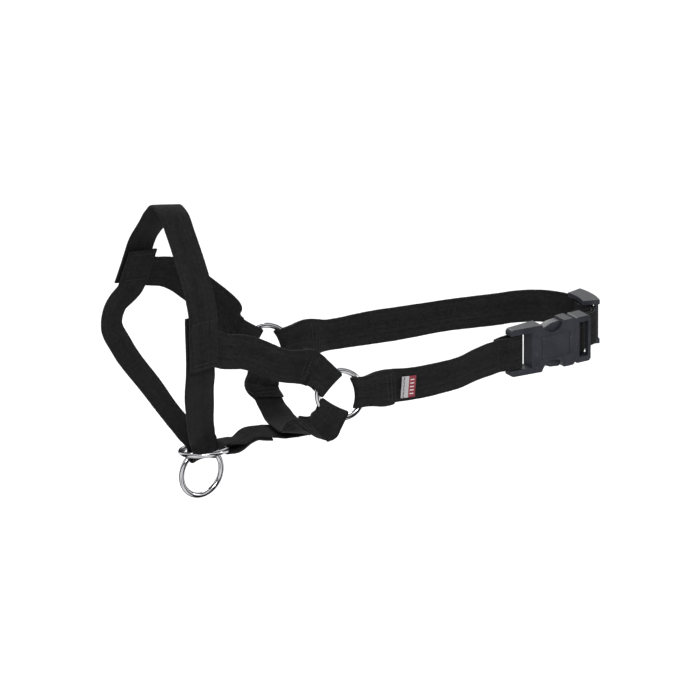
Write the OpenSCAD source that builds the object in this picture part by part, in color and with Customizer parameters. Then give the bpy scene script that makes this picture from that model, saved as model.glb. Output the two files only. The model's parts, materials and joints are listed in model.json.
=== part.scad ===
// Head halter for a large dog, in the shape that it has when worn.
// Millimetres, +Z up, +X from the nose to the neck, -Y the near cheek with the buckle.
// The origin is the centre of the muzzle loop.

/* [Webbing] */
// Width of the flat webbing
web_w = 20; // [16:0.5:22]
// Thickness of the flat webbing
web_t = 1.6; // [1.2:0.1:1.9]
// Width of the webbing where it cups round a cheek ring
fold_w = 17.6; // [14:0.2:18]
// Width of the webbing where it is gathered in the chin ring
tight_w = 15; // [13:0.2:16]
// Play between the webbing and the wire or bar that it folds round
fold_clear = 0.3; // [0.2:0.05:0.5]
// Gap between two sewn layers
layer_gap = 0.25; // [0.1:0.05:0.3]
// How far sewing thread stands out of the webbing
thread_proud = 0.3; // [0.2:0.1:0.5]

/* [Halter size] */
// From the muzzle loop back to the cheek rings
cheek_len = 85; // [70:1:105]
// Half the distance between the two cheek rings
head_half_w = 42; // [35:1:52]
// Half the width of the muzzle loop
muzzle_half_w = 36; // [30:1:44]
// Height of the noseband above the origin
nose_h = 75; // [60:1:90]
// Depth of the chin ring below the origin
chin_drop = 76; // [62:1:92]
// Depth of the cheek rings below the origin
ring_drop = 41; // [36:1:46]
// From the cheek rings back to the buckle
near_strap_len = 116; // [100:1:140]

/* [Rings] */
// Inner diameter of the welded rings
ring_d = 24; // [23:0.5:28]
// Diameter of the ring wire
wire_d = 3.2; // [2.8:0.1:3.4]
// Play that lets the lead ring swing in the noseband's loop
swing_clear = 1.1; // [0.9:0.1:1.4]

/* [Buckle] */
// Height of the buckle, across the webbing
buckle_h = 28.5; // [27:0.5:31]
// Thickness of the buckle
buckle_t = 10; // [9.5:0.5:11]
// Length of the socket, with its strap frame
socket_len = 43.3; // [42:0.5:50]
// Length of the plug outside the socket
plug_len = 11; // [11:0.5:13]
// Play between the plug and the socket
plug_clear = 0.25; // [0.15:0.05:0.35]

/* [Slider] */
// Bend radius of the collar at the nape
nape_r = 35; // [32:1:42]
// Half the length of the slider along the webbing
slider_half = 10; // [9:0.5:12]
// Diameter of the slider's bars
slider_bar_d = 2.6; // [2.2:0.1:3]
// Thickness of the slider's two side rails
slider_rail = 2.8; // [2:0.1:3.5]

/* [Hidden] */
$fn = 48;

web_colour = [0.05, 0.05, 0.055];
thread_colour = [0.03, 0.03, 0.03];
plastic_colour = [0.16, 0.17, 0.2];
steel_colour = [0.8, 0.8, 0.82];

// ---- vectors and curves ----
function unit(v) = v / norm(v);
function square_to(w, t) = unit(w - (w * t) * t);
function blend(a, b, t) = a + (b - a) * (1 - cos(180 * t)) / 2;
// Slope at the middle of three stations, over a stretch as long as h, for stations that are unevenly spaced
function slope_at(a, b, c, h) =
    let (first = norm(place(b) - place(a)), second = norm(place(c) - place(b)))
    h * ((b - a) * second / first + (c - b) * first / second) / (first + second);
// Cubic curve between b and c, with a and d next to them
function curve(a, b, c, d, t) =
    let (h = norm(place(c) - place(b)))
    (2 * pow(t, 3) - 3 * t * t + 1) * b + (pow(t, 3) - 2 * t * t + t) * slope_at(a, b, c, h)
    + (3 * t * t - 2 * pow(t, 3)) * c + (pow(t, 3) - t * t) * slope_at(b, c, d, h);
function at_end(list, i) =
    i < 0 ? 2 * list[0] - list[1]
    : i >= len(list) ? 2 * list[len(list) - 1] - list[len(list) - 2]
    : list[i];
// A station of a strap is its place, then the direction across it, then its half width: seven numbers
function smooth(s, n) = [
    for (i = [0 : len(s) - 2], k = [0 : n - 1]) curve(at_end(s, i - 1), s[i], s[i + 1], at_end(s, i + 2), k / n),
    s[len(s) - 1]];
function place(s) = [s[0], s[1], s[2]];
function across(s) = [s[3], s[4], s[5]];
function station(p, w, half) = [p[0], p[1], p[2], w[0], w[1], w[2], half];
// Directions of a strap at station i: along, across and out of its face
function along_at(s, i) = unit(place(s[min(i + 1, len(s) - 1)]) - place(s[max(i - 1, 0)]));
function across_at(s, i) = square_to(across(s[i]), along_at(s, i));
function face_at(s, i) = cross(along_at(s, i), across_at(s, i));
function lengths(s, i = 0, sum = 0) =
    i >= len(s) ? [] : concat([sum], lengths(s, i + 1,
        i + 1 < len(s) ? sum + norm(place(s[i + 1]) - place(s[i])) : sum));

// ---- webbing ----
layer_step = web_t + layer_gap;
// A loop end is [radius of the wire or bar, straight stretch past it, length of the folded back layer]
no_loop = [0, 0, 0];
function fold_r(loop) = loop[0] + fold_clear + web_t / 2;
function opens(loop, d) =
    loop[0] == 0 ? layer_step / 2
    : d < loop[1] ? fold_r(loop)
    : d < loop[1] + taper ? blend(fold_r(loop), layer_step / 2, (d - loop[1]) / taper)
    : layer_step / 2;
taper = 9;
fold_steps = 6;

// How far the main run stands off the middle line: it comes back to it past the sewn stretch
function lift(loop, d) =
    loop[0] == 0 ? 0
    : d < loop[2] ? opens(loop, d)
    : d < loop[2] + taper ? blend(layer_step / 2, 0, (d - loop[2]) / taper)
    : 0;
function stand(s, i, off) = station(place(s[i]) + off * face_at(s, i), across(s[i]), s[i][6]);
// Points round the wire or bar at station i, from the face that side names to the other
function fold_round(s, i, loop, side, out) = [for (k = [1 : fold_steps - 1])
    let (a = 180 * k / fold_steps, d = side * cos(a) * face_at(s, i) + out * sin(a) * along_at(s, i))
    station(place(s[i]) + fold_r(loop) * d, across(s[i]), s[i][6])];
// The webbing's own line: folded back layer, fold, main run, fold, folded back layer.
// The run s is the middle between the layers; each side says which face its main run is on.
function strap_line(s, first, first_side, last, last_side) =
    let (d = lengths(s), n = len(s), total = d[n - 1])
    concat(
        first[0] == 0 ? [] : concat(
            [for (i = [n - 1 : -1 : 0]) if (d[i] <= first[2]) stand(s, i, -first_side * opens(first, d[i]))],
            fold_round(s, 0, first, -first_side, -1)),
        [for (i = [0 : n - 1])
            stand(s, i, first_side * lift(first, d[i]) + last_side * lift(last, total - d[i]))],
        last[0] == 0 ? [] : concat(
            fold_round(s, n - 1, last, last_side, 1),
            [for (i = [n - 1 : -1 : 0]) if (total - d[i] <= last[2])
                stand(s, i, -last_side * opens(last, total - d[i]))]));

// A flat band along the stations
module band(s) {
    points = [for (i = [0 : len(s) - 1])
        let (w = across_at(s, i) * s[i][6], f = face_at(s, i) * web_t / 2, p = place(s[i]))
        each [p - w - f, p + w - f, p + w + f, p - w + f]];
    // Layers that run opposite ways are cut along the same diagonals, so that twisted ones stay clear
    sides = [for (i = [0 : len(s) - 2], k = [0 : 3])
        let (a = 4 * i + k, b = 4 * i + (k + 1) % 4, run = place(s[i + 1]) - place(s[i]))
        each run * [1, 0.35, 0.1] > 0
            ? [[b + 4, b, a], [a + 4, b + 4, a]]
            : [[a + 4, b, a], [a + 4, b + 4, b]]];
    end = 4 * (len(s) - 1);
    caps = [[0, 1, 2], [0, 2, 3], [end + 2, end + 1, end], [end + 3, end + 2, end]];
    color(web_colour)
        polyhedron(points, concat(sides, caps));
}

// Moves a child so that its X, Y and Z lie along, across and out of the strap
module on_frame(p, along, wide) {
    w = square_to(wide, along);
    f = cross(along, w);
    multmatrix([[along[0], w[0], f[0], p[0]], [along[1], w[1], f[1], p[1]], [along[2], w[2], f[2], p[2]]])
        children();
}
module on_strap(s, i) {
    on_frame(place(s[i]), along_at(s, i), across_at(s, i)) children();
}

// Rows of sewing thread across a strap that is layers thick, spaced along it
seam_w = web_w - 4;
thread_w = 0.9;
module seams(rows, layers) {
    high = layers * web_t + (layers - 1) * layer_gap + 2 * thread_proud;
    color(thread_colour)
        for (x = rows)
            translate([x - thread_w / 2, -seam_w / 2, -high / 2])
                cube([thread_w, seam_w, high]);
}

// ---- rings ----
ring_r = (ring_d + wire_d) / 2;
wire_r = wire_d / 2;
// Wire's distance from the ring's centre at the edges of a folded strap, which clears its inner side
function wire_at(w) = wire_r + sqrt(pow(ring_r - wire_r, 2) - w * w / 4);
fold_at = wire_at(fold_w);
ring_straight = ring_r - fold_at + wire_r + fold_clear;
ring_loop = [wire_r, ring_straight, 24];
// A folded strap lies flat in the ring's plane as far as this past the fold
flat_at = fold_at + ring_straight + 1;

near_ring = [cheek_len, -head_half_w, -ring_drop];
far_ring = [cheek_len, head_half_w, -ring_drop + 1];
// Both cheek rings lean the same way, because the halter is lying a little to one side
ring_face = unit([-0.2, -0.92, 0.33]);
ring_x = square_to([1, 0, 0], ring_face);
ring_z = cross(ring_face, ring_x);
function spoke(a) = cos(a) * ring_x + sin(a) * ring_z;
chin_centre = [20, 0, -chin_drop];
chin_face = unit([-0.02, 0.14, 0.99]);
chin_x = square_to([1, 0, 0], chin_face);
chin_y = cross(chin_face, chin_x);
function chin_spoke(a) = cos(a) * chin_x + sin(a) * chin_y;

module ring(centre, face, side) {
    color(steel_colour)
        on_frame(centre, side, cross(face, side))
            rotate_extrude($fn = 96)
                translate([ring_r, 0])
                    circle(r = wire_r, $fn = 32);
}
module cheek_ring_near() ring(near_ring, ring_face, ring_x);
module cheek_ring_far() ring(far_ring, ring_face, ring_x);
module chin_ring() ring(chin_centre, chin_face, chin_x);

// The lead ring hangs in the fold of the noseband, which comes down through the chin ring
tight_half = tight_w / 2;
tight_at = wire_at(tight_w);
lead_side = unit([1, 0.08, 0]);
lead_across = cross([0, 0, 1], lead_side);
lead_top = chin_centre + [-2.2, 0, 0.2];
lead_centre = lead_top - [0, 0, ring_r];
lead_fold = lead_centre + [0, 0, tight_at];
lead_fold_r = wire_r + swing_clear + web_t / 2;
module lead_ring() ring(lead_centre, lead_across, lead_side);

// ---- muzzle straps ----
// Hand-set places are for the default halter and stretch with its sizes
half = web_w / 2;
fold_half = fold_w / 2;
function muzzle(x, y, z, w, h = half) =
    station([x * cheek_len / 85, y * muzzle_half_w / 36, z > 0 ? z * nose_h / 75 : z * chin_drop / 76], w, h);
// Station on a ring's spoke
function on_ring(centre, a, d, h = half) = station(centre + d * spoke(a), spoke(a + 90), h);
function turned(s) = station(place(s), -across(s), s[6]);

// The sewn joints at the two cheeks are flat: noseband outside, cheek strap between, lower strap inside
near_joint = [-1.8 * cheek_len / 85, -35.3 * muzzle_half_w / 36, 4];
near_down = [0, 0, -1];
near_across = unit([0.99, 0.12, 0]);
near_out = cross(near_down, near_across);
far_joint = [-5.6 * cheek_len / 85, 33 * muzzle_half_w / 36, 31 * nose_h / 75];
far_down = unit([-0.13, 0.36, -0.92]);
far_across = square_to([1, 0.1, 0], far_down);
far_out = cross(far_across, far_down);
// Station in a joint: d down from its middle, x across it, on one of its three layers
function near_sewn(d, layer, x = 0) =
    station(near_joint + d * near_down + x * near_across + layer * layer_step * near_out, near_across, half);
function far_sewn(d, layer, x = 0) =
    station(far_joint + d * far_down + x * far_across + layer * layer_step * far_out, far_across, half);

upper_run = smooth([
    near_sewn(16, 1), near_sewn(6, 1), near_sewn(-6, 1), near_sewn(-16, 1),
    muzzle(-2.6, -33.6, 33, [0.98, 0.16, 0]),
    muzzle(-3.5, -24.5, 50, [0.98, 0.16, -0.05]), muzzle(-4, -14.5, 63.5, [0.99, 0.1, -0.1]),
    muzzle(-4, -6, 72.5, [1, 0, -0.12]), muzzle(-4, 1, 75, [1, 0, -0.12]),
    muzzle(-3.5, 8.5, 70.5, [1, 0, -0.1]), muzzle(-3, 17.5, 60.5, [1, 0, -0.05]),
    far_sewn(-15, 1), far_sewn(-5, 1), far_sewn(5, 1), far_sewn(14, 1)], 5);
module nose_strap_upper() band(upper_run);

lead_limb = ring_r - tight_at + wire_r;
function lead_limb_at(side, d) =
    station(lead_fold + side * lead_fold_r * lead_across + [0, 0, d], lead_side, tight_half);
lower_run = concat(
    smooth([
        near_sewn(-16, -1), near_sewn(-5, -1), near_sewn(6, -1), near_sewn(14, -1), near_sewn(21, -1),
        muzzle(-0.2, -29.5, -28, [0.98, 0.18, 0.02]), muzzle(4.6, -21.5, -44, [0.97, 0.2, 0.1]),
        muzzle(11.6, -11.3, -60, [0.96, 0.2, 0.14], half - 1), muzzle(15.6, -6, -68, [0.97, 0.12, 0.05], tight_half + 0.8),
        lead_limb_at(-1, lead_limb), lead_limb_at(-1, 0)], 5),
    [for (a = [20 : 20 : 160]) station(
        lead_fold - lead_fold_r * (cos(a) * lead_across + sin(a) * [0, 0, 1]), lead_side, tight_half)],
    smooth([
        lead_limb_at(1, 0), lead_limb_at(1, lead_limb),
        muzzle(13.4, 8.5, -67, [0.94, 0.3, 0.06], tight_half + 0.8), muzzle(7.6, 16.5, -57, [0.85, 0.5, 0.1], half - 1),
        muzzle(-1, 24.5, -42, [0.82, 0.56, 0.1]),
        muzzle(-14.6, 34.4, -18, [0.86, 0.48, 0.05]), muzzle(-19.2, 37.6, -6, [0.88, 0.46, 0]),
        muzzle(-16.4, 38, 6, [0.95, 0.3, 0]),
        far_sewn(16, -1), far_sewn(10, -1), far_sewn(3, -1), far_sewn(-4, -1), far_sewn(-11, -1)], 5));
module nose_strap_lower() band(lower_run);

// Station of a cheek strap inside its joint: along it, and turned in the joint's plane
function sewn_slant(joint, down, wide, turn, d) = station(
    joint + d * (cos(turn) * wide + sin(turn) * down), sin(turn) * wide - cos(turn) * down, half);
near_slant = 31;
far_slant = 35;
cheek_near_run = smooth(concat(
    [for (d = [-4.8, 2, 9, 16.5]) sewn_slant(near_joint, near_down, near_across, near_slant, d)],
    [muzzle(28, -34.4, -8, [0.5, -0.05, 0.86]), muzzle(50, -37, -18.4, [0.52, -0.1, 0.85])],
    [turned(on_ring(near_ring, 129, fold_at + 12)), turned(on_ring(near_ring, 127, flat_at, fold_half)),
    turned(on_ring(near_ring, 127, fold_at, fold_half))]), 6);
module cheek_strap_near() band(strap_line(cheek_near_run, no_loop, 1, ring_loop, 1));

cheek_far_run = smooth(concat(
    [for (d = [-4.4, 2, 9]) sewn_slant(far_joint, far_down, far_across, far_slant, d)],
    [muzzle(18, 38, 20.5, [0.5, -0.25, 0.78]), muzzle(40, 39.5, 4, [0.5, -0.35, 0.75]),
    muzzle(57, 40, -12, [0.56, -0.3, 0.76])],
    [turned(on_ring(far_ring, 145, fold_at + 12)), turned(on_ring(far_ring, 144, flat_at, fold_half)),
    turned(on_ring(far_ring, 144, fold_at, fold_half))]), 6);
module cheek_strap_far() band(strap_line(cheek_far_run, no_loop, 1, ring_loop, 1));

throat_run = smooth(concat(
    [on_ring(near_ring, 233, fold_at, fold_half), on_ring(near_ring, 233, flat_at, fold_half),
    on_ring(near_ring, 231, fold_at + 11)],
    [muzzle(67.5, -33, -60.5, [0.7, 0.1, -0.7]), muzzle(69.8, -20, -68, [0.9, 0.2, -0.3]),
    muzzle(74, -3, -70.8, [0.95, 0.25, -0.12]), muzzle(77, 14, -70.5, [0.94, 0.25, -0.1]),
    muzzle(78.6, 28, -64.5, [0.94, 0.22, -0.15])],
    [on_ring(far_ring, 251, fold_at + 11), on_ring(far_ring, 251, flat_at, fold_half),
    on_ring(far_ring, 251, fold_at, fold_half)]), 6);
module throat_strap() band(strap_line(throat_run, ring_loop, 1, ring_loop, 1));

chin_angle = -9;
function chin_station(d, h) = station(chin_centre + d * chin_spoke(chin_angle), chin_spoke(chin_angle - 90), h);
// Its free end is sewn on under the throat strap
chin_run = smooth([
    chin_station(tight_at, tight_half), chin_station(tight_at + 8, tight_half + 1.2),
    muzzle(50, -1, -71.8, [-0.15, -0.97, 0.06]), muzzle(61, -1, -72.8, [-0.15, -0.97, 0]),
    muzzle(72, -0.5, -74.2, [-0.2, -0.97, -0.02]), muzzle(84, 0.5, -75.2, [-0.2, -0.97, 0])], 6);
chin_loop = [wire_r, ring_r - tight_at + wire_r + fold_clear, 30];
module chin_strap() band(strap_line(chin_run, chin_loop, -1, no_loop, 1));

// ---- buckle ----
buckle_y = -head_half_w + 9;
buckle_z = -ring_drop + 1;
buckle_at = [cheek_len + near_strap_len, buckle_y, buckle_z];
buckle_yaw = 4.3;
buckle_x = [cos(buckle_yaw), sin(buckle_yaw), 0];
buckle_in = [-sin(buckle_yaw), cos(buckle_yaw), 0];
module in_buckle() on_frame(buckle_at, buckle_x, buckle_in) children();

rail_in = web_w / 2 + 0.6;
socket_bar_r = 1.6;
socket_bar_x = 3;
frame_len = 13.8;
slope_x = frame_len + 5.5;
slope = 6.5;
cut_r = 8;
cut_x = 28.1;
cut_out = 2.2;
cavity_t = 6.4;
cavity_h = buckle_h - 4.3;
cavity_x = 16.5;
panel_x = 20;
panel_len = 19.5;
panel_h = 14.5;
engraved = 0.3;
corner = 2;

// A flat shape in the buckle's X and Z, with thickness along its Y
module slab(t) rotate([90, 0, 0]) linear_extrude(height = t, center = true) children();
module round_corners(x0, x1, h, r) {
    translate([x0 + r, -h / 2]) square([x1 - x0 - 2 * r, h]);
    translate([x0, -h / 2 + r]) square([x1 - x0, h - 2 * r]);
    for (x = [x0 + r, x1 - r], z = [-1, 1])
        translate([x, z * (h / 2 - r)]) circle(r = r);
}

module buckle_socket() {
    color(plastic_colour) in_buckle() {
        difference() {
            slab(buckle_t) round_corners(0, socket_len, buckle_h, corner);
            slab(buckle_t + 2) translate([-1, -rail_in]) square([frame_len + 1, 2 * rail_in]);
            for (z = [-1, 1])
                slab(buckle_t + 2) translate([cut_x, z * (buckle_h / 2 + cut_out)]) circle(r = cut_r);
            translate([cavity_x, -cavity_t / 2, -cavity_h / 2])
                cube([socket_len, cavity_t, cavity_h]);
            // The faces run down to the thinner strap frame
            for (m = [0, 1])
                mirror([0, m, 0]) translate([slope_x, buckle_t / 2, 0]) rotate([0, 0, 180 + slope])
                    translate([0, -buckle_t, -buckle_h / 2 - 1]) cube([slope_x + 2, buckle_t, buckle_h + 2]);
            // Engraved frame on the face
            translate([0, -buckle_t / 2, 0]) slab(2 * engraved) difference() {
                translate([panel_x, -panel_h / 2]) square([panel_len, panel_h]);
                translate([panel_x + 0.5, -panel_h / 2 + 0.5]) square([panel_len - 1, panel_h - 1]);
            }
        }
        translate([socket_bar_x, 0, -rail_in - 0.5]) cylinder(r = socket_bar_r, h = 2 * rail_in + 1);
    }
}

plug_x = socket_len + 0.1;
wall_t = 3;
window_x = plug_x + wall_t;
plug_end = socket_len + plug_len;
outer_bar_t = 1.9;
loop_bar_r = 0.9;
loop_bar_x = (window_x + plug_end - outer_bar_t) / 2;
loop_bar_y = 0.6;
plug_h = buckle_h - 0.7;
prong_t = cavity_t - 2 * plug_clear - 0.3;
pivot_z = 9.6;
pivot_r = 1.4;
pivot_clear = 0.05;
pivot_wall = 0.3;
pivot_x = window_x - pivot_wall - pivot_clear - pivot_r;
guide_h = 6;

module buckle_plug() {
    color(plastic_colour) in_buckle() {
        difference() {
            slab(buckle_t) round_corners(plug_x, plug_end, plug_h, corner);
            slab(buckle_t + 2) translate([window_x, -rail_in]) square([plug_end - window_x - outer_bar_t, 2 * rail_in]);
            // The webbing leaves behind the outer bar
            translate([window_x, -buckle_t / 2 + 3, -rail_in]) cube([plug_len, buckle_t, 2 * rail_in]);
            for (z = [-1, 1]) {
                slab(prong_t + 0.4) translate([pivot_x, z * pivot_z]) circle(r = pivot_r + pivot_clear);
                translate([plug_x - 1, -prong_t / 2 - 0.2, z * pivot_z - 2.3])
                    cube([pivot_x - plug_x + 1, prong_t + 0.4, 4.6]);
            }
        }
        translate([loop_bar_x, loop_bar_y, -rail_in - 0.5]) cylinder(r = loop_bar_r, h = 2 * rail_in + 1);
        translate([cut_x + 4, -prong_t / 2, -guide_h / 2]) cube([plug_x - cut_x - 3, prong_t, guide_h]);
    }
}

mouth_z = cavity_h / 2;
shoulder_x = cut_x + sqrt(cut_r * cut_r - pow(buckle_h / 2 + cut_out - mouth_z, 2)) - 0.5;
head_z = buckle_h / 2 - 0.4;
module prong(z) {
    color(plastic_colour) in_buckle()
        mirror([0, 0, z < 0 ? 1 : 0]) {
            slab(prong_t) polygon([
                [pivot_x, pivot_z - pivot_r], [pivot_x, pivot_z + pivot_r],
                [shoulder_x + 0.4, mouth_z - 0.6], [shoulder_x, mouth_z], [shoulder_x - 0.2, head_z - 0.3],
                [shoulder_x - 1.5, head_z], [cut_x - 0.5, head_z - 0.6], [cut_x - 5, head_z - 2.4],
                [cavity_x + 2, head_z - 4.6], [cavity_x + 1.2, head_z - 6], [cavity_x + 2.4, head_z - 6.8],
                [cut_x + 2, head_z - 5.6]]);
            slab(prong_t) translate([pivot_x, pivot_z]) circle(r = pivot_r);
        }
}
module prong_upper() prong(1);
module prong_lower() prong(-1);

// ---- collar ----
// The webbing lies loose round the socket's bar
bar_slack = 3;
bar_loop = [socket_bar_r, socket_bar_r + 1 + bar_slack, 16];
tag_gap = 0.2;
up = [0, 0, 1];
// Near collar places are shares of the way from the cheek ring to the buckle
function near_collar(share, y, z) =
    station([cheek_len + share * near_strap_len, -head_half_w + y, -ring_drop + z], up, half);
function in_buckle_at(x, y) = buckle_at + x * buckle_x + y * buckle_in;
near_collar_run = smooth(concat(
    [on_ring(near_ring, -4, fold_at, fold_half), on_ring(near_ring, -4, flat_at, fold_half),
    on_ring(near_ring, -3, fold_at + 12)],
    [near_collar(0.34, -1.3, -1), near_collar(0.55, -1.5, -1.2), near_collar(0.68, -0.4, -0.8),
    near_collar(0.76, 2.2, 0.3), near_collar(0.86, 5.2, 0.8)],
    [station(in_buckle_at(socket_bar_x - 8, 0.3), up, half), station(in_buckle_at(socket_bar_x - 3, 0), up, half),
    station(in_buckle_at(socket_bar_x + bar_slack, 0), up, half)]), 6);
collar_loop = [wire_r, ring_straight, 26];
module collar_strap_near() band(strap_line(near_collar_run, collar_loop, -1, bar_loop, 1));

plug_bar = in_buckle_at(loop_bar_x, loop_bar_y);
nape_inset = 4.6;
nape = plug_bar - (nape_r - nape_inset) * [cos(-60), sin(-60), 0];
function on_nape(a, off = 0) = nape + (nape_r + off) * [cos(a), sin(a), 0];
function far_collar(share, y, z) =
    station([cheek_len + share * (nape[0] - cheek_len), y * head_half_w / 42, -ring_drop + z], up, half);
split_angle = 66;
main_off = layer_step / 2;
far_collar_run = smooth(concat(
    [on_ring(far_ring, 7, fold_at, fold_half), on_ring(far_ring, 7, flat_at, fold_half),
    on_ring(far_ring, 6, fold_at + 12)],
    [far_collar(0.26, 45, 1.2), far_collar(0.43, 45.5, 0), far_collar(0.6, 44.8, 0),
    far_collar(0.77, 41.5, 0.2), far_collar(0.89, 36.8, 0.6)],
    [for (a = [92 : -13 : split_angle]) station(on_nape(a, main_off), up, half)]), 6);
module collar_strap_far() band(strap_line(far_collar_run, collar_loop, 1, no_loop, 1));

// ---- adjuster ----
bar_r = slider_bar_d / 2;
slider_loop = [bar_r, bar_r + 1, 14];
plug_loop = [loop_bar_r, loop_bar_r + 1, 100];
loop_start = -12;
seam_gap = 0.3;
nape_arc = [for (a = [split_angle - seam_gap : -6 : loop_start + 3]) station(on_nape(a, main_off), up, half)];
loop_run = smooth(concat(
    [for (a = [loop_start, loop_start - 8, loop_start - 16]) station(on_nape(a), up, half)],
    [station(plug_bar + 9 * [cos(40), sin(40), 0], up, half), station(plug_bar, up, half)]), 5);
adjuster_line = concat(nape_arc, strap_line(loop_run, no_loop, 1, plug_loop, -1),
    [for (a = [loop_start + 3 : 3 : 0]) station(on_nape(a, -main_off), up, half)],
    [for (k = [1 : fold_steps - 1]) let (a = 180 * k / fold_steps)
        station(on_nape(0, -main_off - fold_r(slider_loop) * (1 - cos(a)))
            + [0, fold_r(slider_loop) * sin(a), 0], up, half)],
    [for (a = [0 : -3 : -24])
        station(on_nape(a, -main_off - 2 * opens(slider_loop, -a * nape_r * PI / 180)), up, half)]);
module adjuster_loop() band(adjuster_line);

slider_play = 0.35;
outer_bar_off = main_off + web_t / 2 + slider_play + bar_r;
centre_bar_off = -main_off - fold_r(slider_loop);
slider_turn = slider_half / nape_r * 180 / PI;
rail_z = web_w / 2 + 0.5;
rail_edge = 0.4;
module strap_slider() {
    color(plastic_colour) translate([nape[0], nape[1], nape[2]]) {
        for (z = [-rail_z - slider_rail, rail_z])
            translate([0, 0, z]) rotate([0, 0, -slider_turn])
                rotate_extrude(angle = 2 * slider_turn, $fn = 96)
                    translate([nape_r + centre_bar_off - bar_r - rail_edge, 0])
                        square([outer_bar_off - centre_bar_off + 2 * (bar_r + rail_edge), slider_rail]);
        for (a = [-1, 1])
            rotate([0, 0, a * (slider_turn - (bar_r + rail_edge) / nape_r * 180 / PI)])
                translate([nape_r + outer_bar_off, 0, -rail_z - 0.5])
                    cylinder(r = bar_r, h = 2 * rail_z + 1);
        translate([nape_r + centre_bar_off, 0, -rail_z - 0.5])
            cylinder(r = bar_r, h = 2 * rail_z + 1);
    }
}

// ---- tag and sewing ----
tag_len = 9.6;
tag_h = 13.4;
tag_t = 0.6;
// Station of a run nearest to a length along it
function near(s, d) = let (l = lengths(s)) [for (i = [0 : len(s) - 1]) if (l[i] >= d) i][0];
function total(s) = lengths(s)[len(s) - 1];
tag_i = near(near_collar_run, 31);
module woven_tag() {
    color([0.45, 0.1, 0.14]) on_strap(near_collar_run, tag_i)
        translate([-tag_len / 2, -tag_h / 2 - 1, web_t / 2 + tag_gap])
            cube([tag_len, tag_h, tag_t]);
}
module tag_stitches() {
    color(thread_colour) on_strap(near_collar_run, tag_i)
        translate([0.6 - tag_len / 2, -tag_h / 2 - 1, -web_t])
            cube([thread_w, tag_h, 2 * web_t + tag_gap + tag_t + thread_proud]);
}
// Seams on a strap that ends in a loop, at lengths from the loop
module loop_seams(s, from_end, spots, layers = 2) {
    for (d = spots)
        on_strap(s, near(s, from_end ? total(s) - d : d)) seams([0], layers);
}
module nose_stitches_near()
    for (d = [-13, 12, 14.5])
        on_frame(place(near_sewn(d, 0)), near_down, near_across) seams([0], 3);
module nose_stitches_far()
    for (d = [-9, 9.5])
        on_frame(place(far_sewn(d, 0)), far_down, far_across) seams([0], 3);
module cheek_stitches_near() loop_seams(cheek_near_run, true, [15, 19, 23]);
module cheek_stitches_far() loop_seams(cheek_far_run, true, [15, 19, 23]);
module throat_stitches_near() loop_seams(throat_run, false, [15, 19, 23]);
module throat_stitches_far() loop_seams(throat_run, true, [15, 19, 23]);
module chin_stitches() loop_seams(chin_run, false, [18, 23, 28]);
module throat_join_stitches() loop_seams(chin_run, true, [2, 10]);
module collar_stitches_near() loop_seams(near_collar_run, false, [16, 20, 24]);
module collar_stitches_far() loop_seams(far_collar_run, false, [16, 20, 24]);
module socket_stitches() loop_seams(near_collar_run, true, [12, 15]);
module slider_stitches()
    on_frame(on_nape(-20, -main_off - layer_step / 2), [-sin(20), -cos(20), 0], up) seams([0], 2);

nose_strap_upper();
nose_strap_lower();
cheek_strap_near();
cheek_strap_far();
throat_strap();
chin_strap();
collar_strap_near();
collar_strap_far();
adjuster_loop();
cheek_ring_near();
cheek_ring_far();
chin_ring();
lead_ring();
buckle_socket();
buckle_plug();
prong_upper();
prong_lower();
strap_slider();
woven_tag();
nose_stitches_near();
nose_stitches_far();
cheek_stitches_near();
cheek_stitches_far();
throat_stitches_near();
throat_stitches_far();
chin_stitches();
throat_join_stitches();
collar_stitches_near();
collar_stitches_far();
socket_stitches();
slider_stitches();
tag_stitches();
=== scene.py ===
"""Looks for a webbing head halter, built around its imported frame.

Every strap is laid along the route that its plain band takes in the frame, so the
webbing, its stitching and its label follow the same rings, buckle and slider.
Lengths are in metres unless a name ends in _mm.
"""

import json
import logging
import math
from dataclasses import dataclass, field
from enum import Enum

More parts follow.
